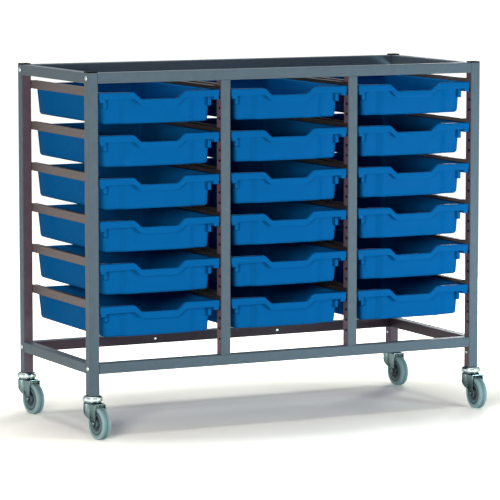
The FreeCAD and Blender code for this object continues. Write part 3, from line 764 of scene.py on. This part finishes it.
def tray_profile(plan, station):
    """Points of the tray's sheet at a station, from its floor up the wall and over the rim."""
    kind, where, outer, drop, dip = station
    top = TRAY_HEIGHT - dip
    points = []
    for turn in quarter(ROUND_STEPS):
        z = TRAY_SHEET + FLOOR_FILLET * (1 - math.cos(turn))
        inset = TRAY_SHEET + FLOOR_FILLET * (1 - math.sin(turn))
        points.append((*plan.wall_point(kind, where, z, inset), z))
    points.append((*plan.wall_point(kind, where, top / 2, TRAY_SHEET), top / 2))
    wall = Vector(plan.wall_point(kind, where, top - RIM_FILLET, TRAY_SHEET))
    rim = Vector(outer)
    out = (rim - wall).normalized()
    for turn in quarter(ROUND_STEPS):
        place = wall + out * RIM_FILLET * (1 - math.cos(turn))
        points.append((place.x, place.y, top - RIM_FILLET * (1 - math.sin(turn))))
    middle = (wall + rim) / 2
    points.append((middle.x, middle.y, top))
    for turn in quarter(ROUND_STEPS):
        place = rim - out * RIM_FILLET * (1 - math.sin(turn))
        points.append((place.x, place.y, top - RIM_FILLET * (1 - math.cos(turn))))
    foot = top - drop
    points.append((rim.x, rim.y, (top - RIM_FILLET + foot) / 2))
    points.append((rim.x, rim.y, foot))
    return points


def tray_sheet(plan):
    """The upper face of the tray's sheet: inside the body, over the rim, down the skirt."""
    right = [tray_profile(plan, station) for station in plan.stations()]
    left = [[(-x, y, z) for x, y, z in profile] for profile in reversed(right[1:-1])]
    profiles = right + left
    levels, count = len(profiles[0]), len(profiles)
    points = [point for profile in profiles for point in profile]
    faces = [[station * levels for station in range(count)]]
    for station in range(count):
        after = (station + 1) % count
        for level in range(levels - 1):
            first, opposite = station * levels + level, after * levels + level
            faces.append([first, first + 1, opposite + 1, opposite])
    return mesh_object("tray_sheet", points, faces)


def both_ends(low, high):
    """A plate near the tray's right end, and its mirror image."""
    (x0, y0, z0), (x1, y1, z1) = low, high
    return [plate(low, high), plate((-x1, y0, z0), (-x0, y1, z1))]


def tray_details(plan):
    """The tabs' cheeks behind the lip's ends, and the hollow pads on the front wall."""
    outer = plan.lip_end - TAB_STEP
    tab = plan.lip_end - TAB_WIDTH
    foot, top = TRAY_HEIGHT - TAB_HEIGHT, TRAY_HEIGHT - DETAIL_INSET
    meshes = both_ends((tab, TAB_FACE, foot), (tab + TRAY_SHEET, TAB_DEPTH, top))
    meshes += both_ends((outer - TRAY_SHEET, TAB_FACE, foot), (outer, TAB_DEPTH, top))
    step = TRAY_HEIGHT - TAB_STEP_HEIGHT
    meshes += both_ends((outer - TRAY_SHEET, TAB_FACE, step),
                        (plan.lip_end - DETAIL_INSET, TAB_DEPTH, step + TRAY_SHEET))
    x1 = plan.half_rim - PAD_INSET
    x0, y0, y1 = x1 - PAD_WIDTH, LIP_REACH - PAD_REACH, LIP_REACH + PAD_ROOT
    meshes += both_ends((x0, y0, PAD_FOOT), (x1, y0 + PAD_SHEET, top))
    meshes += both_ends((x0, y0, PAD_FOOT), (x0 + PAD_SHEET, y1, top))
    return meshes + both_ends((x0, y0, PAD_FOOT), (x1, y1, PAD_FOOT + PAD_SHEET))


def tray_mesh(width, depth):
    plan = TrayPlan(width, depth)
    sheet = bevelled(thickened(tray_sheet(plan), TRAY_SHEET), EDGE, SHEET_ANGLE)
    return joined("tray", [finished_mesh(sheet)] + tray_details(plan))


def make_trays(material):
    low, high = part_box("tray_left_1")
    size = (high - low) / MM
    mesh = tray_mesh(size.x, size.y)
    for column in COLUMNS:
        for row in range(1, ROWS + 1):
            node = f"tray_{column}_{row}"
            low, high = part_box(node)
            place = Vector(((low.x + high.x) / 2, low.y, low.z))
            piece(f"moulded_{node}", mesh, place, node, material, [node])


# ---- castors --------------------------------------------------------------------

def tyre_mesh(radius):
    """A grey tyre with flat sides, small shoulders and a fine groove round the tread."""
    bore, half = radius - TYRE_THICKNESS, TYRE_WIDTH / 2
    side = [(bore, half - 1.0), (bore + 1.0, half - 0.1), (bore + 1.6, half),
            (radius - TYRE_SHOULDER, half)]
    for turn in quarter(TYRE_STEPS)[1:]:
        side.append((radius - TYRE_SHOULDER * (1 - math.sin(turn)),
                     half - TYRE_SHOULDER * (1 - math.cos(turn))))
    right = side + [(radius, GROOVE_HALF), (radius - GROOVE_DEPTH, GROOVE_FLOOR)]
    left = [(r, -x) for r, x in right]
    return finished_mesh(lathe("tyre", right[::-1] + left + [right[-1]], ROUND_FINE))


def hub_mesh(radius):
    """Rim, recessed web with a step round it, and a boss, the same on both sides."""
    half, edge = HUB_WIDTH / 2, TYRE_WIDTH / 2
    web, inner = edge - HUB_RECESS, radius - HUB_RIM
    right = [(HUB_BORE, half), (HUB_BOSS - 1.0, half), (HUB_BOSS, half - 0.8),
             (HUB_BOSS, web + 1.2), (HUB_BOSS + 1.2, web), (inner - 1.2, web),
             (inner, web + 1.2), (inner, edge - 0.8), (inner + 0.7, edge),
             (radius - 1.4, edge), (radius - 0.7, edge - 0.8), (radius, edge - 1.2)]
    left = [(r, -x) for r, x in reversed(right)]
    return finished_mesh(lathe("hub", right + left + [(HUB_BORE, half)]))


def nut_mesh(radius, low, high):
    """A hexagonal nut round z."""
    turns = [math.radians(60 * step) for step in range(6)]
    points = [(radius * math.cos(turn), radius * math.sin(turn), z)
              for z in (low, high) for turn in turns]
    faces = [list(range(6))[::-1], list(range(6, 12))]
    faces += [[i, (i + 1) % 6, (i + 1) % 6 + 6, i + 6] for i in range(6)]
    return finished_mesh(bevelled(mesh_object("nut", points, faces), NUT_EDGE))


def axle_mesh():
    """A bolt with a flat domed head on the right and a nut on the left, along the x axis."""
    leg, reach = LEG_OUTSIDE, LEG_OUTSIDE + AXLE_HEAD
    head = rounded([(0, reach), (4.6, reach), (6.4, reach - 1.6), (6.8, leg + 0.8),
                    (6.8, leg), (BOLT_RADIUS, leg)], AXLE_ROUNDING)
    end = [(BOLT_RADIUS, -reach + 0.6), (BOLT_RADIUS - 0.6, -reach), (0, -reach)]
    bolt = finished_mesh(lathe("bolt", head + end))
    washer_end = -leg - WASHER_THICKNESS
    washer = finished_mesh(lathe("washer", [
        (BOLT_RADIUS, -leg), (WASHER_RADIUS, -leg),
        (WASHER_RADIUS, washer_end), (BOLT_RADIUS, washer_end)]))
    nut = nut_mesh(NUT_RADIUS, -leg - NUT_END, -leg - NUT_START)
    return turned(joined("axle", [bolt, washer, nut]), (1, 0, 0))


def fork_plan(trail):
    """Half the fork's outside plan, from a leg's front to the middle of the back.

    Each point is (x, y, and the outward normal's x and y).
    """
    crease = -math.asin(math.sqrt(1 - (LEG_OUTSIDE / FORK_DRUM) ** 2))
    crease_y = FORK_DRUM_BACK + FORK_DRUM * math.sin(crease)
    leg = spread(-trail - FORK_FRONT, crease_y, LEG_STATIONS)[:-1]
    plan = [(LEG_OUTSIDE, y, 1.0, 0.0) for y in leg]
    plan.append((LEG_OUTSIDE, crease_y, *CREASE_NORMAL))
    for step in range(1, DRUM_STEPS + 1):
        turn = crease + (math.pi / 2 - crease) * step / DRUM_STEPS
        plan.append((FORK_DRUM * math.cos(turn), FORK_DRUM_BACK + FORK_DRUM * math.sin(turn),
                     math.cos(turn), math.sin(turn)))
    return crease_y, plan


def fork_mesh(top, trail, axle_height):
    """A pressed fork round z, its wheel trailing to the front: flat legs and a round drum."""
    crease_y, right = fork_plan(trail)
    back = FORK_DRUM_BACK + FORK_DRUM
    dy, dz = crease_y + trail, FORK_CREASE_FOOT - axle_height
    angle = math.atan2(dz, dy) - math.acos(FORK_EAR / math.hypot(dy, dz))
    tangent = (-trail + FORK_EAR * math.cos(angle), axle_height + FORK_EAR * math.sin(angle))

    def lower_edge(y):
        """Height of the fork's edge: round the ear, up the leg and on up the drum."""
        if y < tangent[0]:
            return axle_height - math.sqrt(max(0.0, FORK_EAR ** 2 - (y + trail) ** 2))
        if y < crease_y:
            share = (y - tangent[0]) / (crease_y - tangent[0])
            return tangent[1] + share * (FORK_CREASE_FOOT - tangent[1])
        share = (y - crease_y) / (back - crease_y)
        return FORK_CREASE_FOOT + share * (FORK_DRUM_FOOT - FORK_CREASE_FOOT)

    plan = right + [(-x, y, -nx, ny) for x, y, nx, ny in reversed(right[:-1])]
    points, faces = [], []
    for x, y, nx, ny in plan:
        low, bend_foot = lower_edge(y), top - FORK_BEND
        points += [(x, y, low), (x, y, (low + bend_foot) / 2), (x, y, bend_foot)]
        for turn in quarter(BEND_STEPS)[1:]:
            inset = FORK_BEND * (1 - math.cos(turn))
            points.append((x - nx * inset, y - ny * inset, bend_foot + FORK_BEND * math.sin(turn)))
        points.append((x - nx * (FORK_BEND + 1), y - ny * (FORK_BEND + 1), top))
    levels = len(points) // len(plan)
    for index in range(len(plan) - 1):
        for level in range(levels - 1):
            first = index * levels + level
            faces.append([first, first + levels, first + levels + 1, first + 1])
    faces.append([index * levels + levels - 1 for index in range(len(plan))])
    sheet = thickened(mesh_object("fork", points, faces), FORK_SHEET)
    race_top = top + RACE_HEIGHT
    race = rounded([(0, top), (RACE_RADIUS, top), (RACE_RADIUS, race_top), (0, race_top)],
                   RACE_ROUNDING)
    return joined("fork", [finished_mesh(bevelled(sheet, EDGE, SHEET_ANGLE)),
                           finished_mesh(lathe("race", race))])


def cup_mesh(foot, top):
    """A domed cup with a flat top, an upright side and a rolled foot."""
    edge = CUP_RADIUS
    outer = rounded([(13.0, top), (edge - 7.4, top), (edge - 2.4, top - 1.8),
                     (edge, top - 5.4), (edge, foot + 1.4), (edge - 0.3, foot + 0.6),
                     (edge - 0.9, foot), (12.0, foot)], CUP_ROUNDING)
    return finished_mesh(lathe("cup", [(0, top)] + outer + [(0, foot)], ROUND_FINE))


def make_castors(bright, painted_shade_zinc):
    """Four castors of the same meshes, each swung as its packed wheel is."""
    meshes = None
    cup_low, cup_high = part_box("castor_cups")
    for corner in CORNERS:
        post = centre(f"post_{corner}")
        foot = Vector((post.x, post.y, 0))
        wheel = centre(f"castor_tyre_{corner}")
        swing = math.atan2(wheel.x - post.x, post.y - wheel.y)
        if meshes is None:
            radius = (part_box(f"castor_tyre_{corner}")[1].z - wheel.z) / MM
            race_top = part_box(f"castor_fork_{corner}")[1].z / MM
            trail = (wheel - foot).xy.length / MM
            hub_radius = radius - TYRE_THICKNESS
            rubber, hub_grey = grey_rubber_and_painted_light(radius), hub_plastic(hub_radius)
            meshes = {
                "tyre": turned(tyre_mesh(radius), (1, 0, 0)),
                "hub": turned(hub_mesh(hub_radius), (1, 0, 0)),
                "axle": axle_mesh(),
                "fork": fork_mesh(race_top - RACE_HEIGHT, trail, wheel.z / MM),
                "cup": cup_mesh(cup_low.z / MM, cup_high.z / MM),
            }
        wheel_body, swivel_body = f"wheel_{corner}", f"swivel_{corner}"
        for kind, place, body, material, slot in (
                ("tyre", wheel, wheel_body, rubber, "tyre_rubber"),
                ("hub", wheel, wheel_body, hub_grey, "hub_plastic"),
                # forks and axles take the darker copy of the zinc, which is painted shade
                ("axle", wheel, swivel_body, painted_shade_zinc, "castor_zinc"),
                ("fork", foot, swivel_body, painted_shade_zinc, "castor_zinc")):
            piece(f"{kind}_{corner}", meshes[kind], place, body, material,
                  [f"castor_{kind}_{corner}"], swing)
        piece(f"cup_{corner}", meshes["cup"], foot, "root", bright, ["castor_cups"])


# ---- frame ----------------------------------------------------------------------

def screw_mesh(r, shank_length):
    """A low domed head along -z with a round socket, and its shank along +z."""
    h = SCREW_HEAD_HEIGHT
    profile = [(0, 0.5 - h), (r * 0.34, 0.5 - h), (r * 0.40, -h), (r * 0.62, -h * 0.97),
               (r * 0.82, -h * 0.80), (r * 0.95, -h * 0.45), (r, -0.3), (r - 0.2, 0),
               (SCREW_SHANK, 0), (SCREW_SHANK, shank_length), (0, shank_length)]
    return finished_mesh(lathe("screw", profile, ROUND_COARSE))


def make_screws(zinc):
    """Domed screws at the corners, at the dividers' feet and over the castors."""
    long = screw_mesh(RAIL_SCREW_HEAD, RAIL_SCREW_LENGTH)
    short = screw_mesh(SHORT_SCREW_HEAD, SHORT_SCREW_LENGTH)
    low_z = centre("rail_bottom_front").z
    lock_z = centre("castor_lock_screws").z

    def put(name, mesh, seat, axis, node):
        thing = piece(name, mesh, seat, "root", zinc, [node])
        thing.rotation_mode = "QUATERNION"
        thing.rotation_quaternion = Vector((0, 0, 1)).rotation_difference(Vector(axis))

    for corner in CORNERS:
        post = centre(f"post_{corner}")
        low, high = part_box(f"post_{corner}")
        side = 1 if post.x > 0 else -1
        outer, inner = (high.x, low.x) if side > 0 else (low.x, high.x)
        for level, z in (("bottom", low_z), ("top", centre("rail_top_front").z)):
            put(f"rail_screw_{level}_{corner}", long, (outer, post.y, z), (-side, 0, 0),
                "rail_screws")
        put(f"castor_lock_screw_{corner}", short, (inner, post.y, lock_z), (side, 0, 0),
            "castor_lock_screws")
    for place in ("front", "back"):
        low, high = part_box(f"rail_bottom_{place}")
        y, axis = (high.y, (0, -1, 0)) if place == "front" else (low.y, (0, 1, 0))
        for side in ("left", "right"):
            x = centre(f"divider_{place}_{side}").x
            put(f"divider_screw_{place}_{side}", short, (x, y, low_z), axis, "divider_screws")


def dress_frame(materials):
    """Materials and eased edges for the nodes whose shape is already right."""
    for name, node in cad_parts.items():
        kind = name if name in materials else name.split("_")[0]
        if kind not in materials:
            continue
        node.data.materials.clear()
        node.data.materials.append(materials[kind])
        weld = node.modifiers.new("weld", "WELD")
        weld.merge_threshold = WELD * MM
        thin = kind in ("runners", "post", "divider")
        bevelled(node, THIN_EDGE if thin else TUBE_EDGE, PACKED_ANGLE)


# ---- stage ----------------------------------------------------------------------

def show_when_seen(tree, output, unseen, seen):
    """Shows seen to rays that look, mirror or pass through, and unseen to the rest."""
    path = tree.nodes.new("ShaderNodeLightPath")
    factor = path.outputs["Is Camera Ray"]
    for ray in ("Is Glossy Ray", "Is Transmission Ray"):
        either = tree.nodes.new("ShaderNodeMath")
        either.operation = "MAXIMUM"
        tree.links.new(factor, either.inputs[0])
        tree.links.new(path.outputs[ray], either.inputs[1])
        factor = either.outputs["Value"]
    mix = tree.nodes.new("ShaderNodeMixShader")
    tree.links.new(factor, mix.inputs["Fac"])
    tree.links.new(unseen, mix.inputs[1])
    tree.links.new(seen, mix.inputs[2])
    tree.links.new(mix.outputs["Shader"], tree.nodes[output].inputs["Surface"])


def make_floor():
    """White all round, and dimmer near the unit, where the lamps fill in all but its shadow."""
    corners = [(-FLOOR_HALF, -FLOOR_HALF, 0), (FLOOR_HALF, -FLOOR_HALF, 0),
               (FLOOR_HALF, FLOOR_HALF, 0), (-FLOOR_HALF, FLOOR_HALF, 0)]
    floor = mesh_object("floor", corners, [[0, 1, 2, 3]], scale=1.0)
    nodes = Nodes("pale_floor")
    nodes.shader.inputs["Base Color"].default_value = FLOOR_COLOUR
    nodes.shader.inputs["Roughness"].default_value = FLOOR_ROUGHNESS
    nodes.shader.inputs["Specular IOR Level"].default_value = 0.0
    lit = nodes.node("ShaderNodeBsdfDiffuse")
    lit.inputs["Color"].default_value = FLOOR_LIT
    glow = nodes.node("ShaderNodeEmission")
    glow.inputs["Color"].default_value = GLOW_COLOUR
    rise = nodes.between(nodes.distance(GLOW_STRETCH), FLOOR_GLOW, 1.0, *GLOW_RISE)
    nodes.link(rise, glow.inputs["Strength"])
    seen = nodes.node("ShaderNodeAddShader")
    nodes.link(lit.outputs["BSDF"], seen.inputs[0])
    nodes.link(glow.outputs["Emission"], seen.inputs[1])
    show_when_seen(nodes.tree, "Material Output",
                   nodes.shader.outputs["BSDF"], seen.outputs["Shader"])
    floor.data.materials.append(nodes.material)


def make_world():
    """White where it is seen, mirrored or looked through, and a dim rose fill elsewhere."""
    world = bpy.data.worlds.new("studio")
    bpy.context.scene.world = world
    world.use_nodes = True
    tree = world.node_tree
    light = tree.nodes["Background"]
    light.inputs["Color"].default_value = FILL_COLOUR
    light.inputs["Strength"].default_value = FILL
    white = tree.nodes.new("ShaderNodeBackground")
    white.inputs["Color"].default_value = (1, 1, 1, 1)
    white.inputs["Strength"].default_value = 1.0
    show_when_seen(tree, "World Output",
                   light.outputs["Background"], white.outputs["Background"])


def make_lights():
    for name, place, target, size, watts, colour in LAMPS:
        data = bpy.data.lights.new(name, "AREA")
        data.shape = "RECTANGLE"
        data.size, data.size_y = size
        data.energy = watts
        data.color = colour
        lamp = bpy.data.objects.new(name, data)
        bpy.context.scene.collection.objects.link(lamp)
        lamp.location = place
        lamp.rotation_mode = "QUATERNION"
        look = Vector(target) - Vector(place)
        lamp.rotation_quaternion = look.to_track_quat("-Z", "Y")


def make_camera():
    yaw, pitch = math.radians(CAMERA_YAW), math.radians(CAMERA_PITCH)
    look = Vector((math.sin(yaw) * math.cos(pitch), math.cos(yaw) * math.cos(pitch),
                   -math.sin(pitch)))
    data = bpy.data.cameras.new("camera")
    data.lens = CAMERA_LENS
    data.sensor_width = CAMERA_SENSOR
    data.clip_start, data.clip_end = CAMERA_CLIP
    camera = bpy.data.objects.new("camera", data)
    bpy.context.scene.collection.objects.link(camera)
    camera.location = Vector(CAMERA_PLACE) * MM
    camera.rotation_mode = "QUATERNION"
    camera.rotation_quaternion = look.to_track_quat("-Z", "Y")
    bpy.context.scene.camera = camera


# ---- build ----------------------------------------------------------------------

bpy.context.scene.view_settings.view_transform = "Standard"
zinc = zinc_plate("bright_zinc", BRIGHT_ZINC)
post_coat = frame_coat("post_powder_coat_and_painted_shade", POST_PAINTED_SHADE)
runner_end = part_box("runners_right_bay")[1].x / MM
make_trays(tray_plastic())
# painted shade: the forks and axles get a darker copy of the zinc
make_castors(zinc, zinc_plate("zinc_with_painted_shade", ZINC_PAINTED_SHADE))
make_screws(zinc)
dress_frame({
    "post": post_coat,
    "divider": post_coat,
    "rail": frame_coat("rail_powder_coat_and_painted_shade", RAIL_PAINTED_SHADE),
    "runners": runner_coat(runner_end - UNSHADED_RUNNER_WIDTH),
    "post_caps": plastic("black_cap_plastic", CAP_BLACK, CAP_FINISH),
    "rail_inserts": plastic("black_insert_plastic", INSERT_BLACK, INSERT_FINISH),
    "castor_stems": zinc,
})
make_floor()
make_world()
make_lights()
make_camera()
